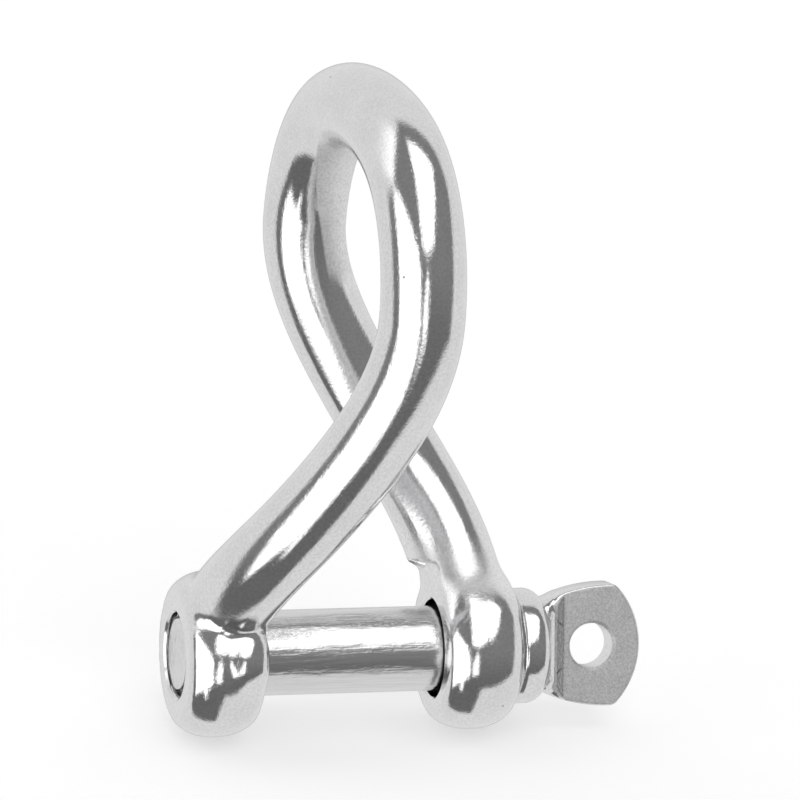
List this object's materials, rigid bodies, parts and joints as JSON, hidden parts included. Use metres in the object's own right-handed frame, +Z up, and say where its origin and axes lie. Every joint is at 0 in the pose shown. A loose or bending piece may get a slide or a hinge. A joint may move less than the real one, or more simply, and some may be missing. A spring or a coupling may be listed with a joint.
{
  "type": "twisted screw-pin shackle",
  "caption": "Twisted shackle of round bar: a bow turned across its jaw, ears at the leg ends, and a collared screw pin with a flat eye that draws out sideways.",
  "frame": {"origin": "on the pin's axis at the middle of the jaw", "axes": "+X along the pin towards its eye, +Z up to the crown, +Y completes the right-handed frame"},
  "size_m": [0.0463, 0.0375, 0.0659],
  "materials": {
    "polished_stainless": "mirror-polished stainless steel with small pits",
    "satin_stainless": "drawn and tumbled stainless steel, satin"
  },
  "bodies": {
    "shackle": {"shackle_body": "polished_stainless"},
    "pin": {"screw_pin": "satin_stainless"}
  },
  "joints": [
    {"name": "pin_slide", "type": "slide", "parent": "shackle", "child": "pin", "axis": [1, 0, 0], "range_m": [0, 0.036]}
  ]
}
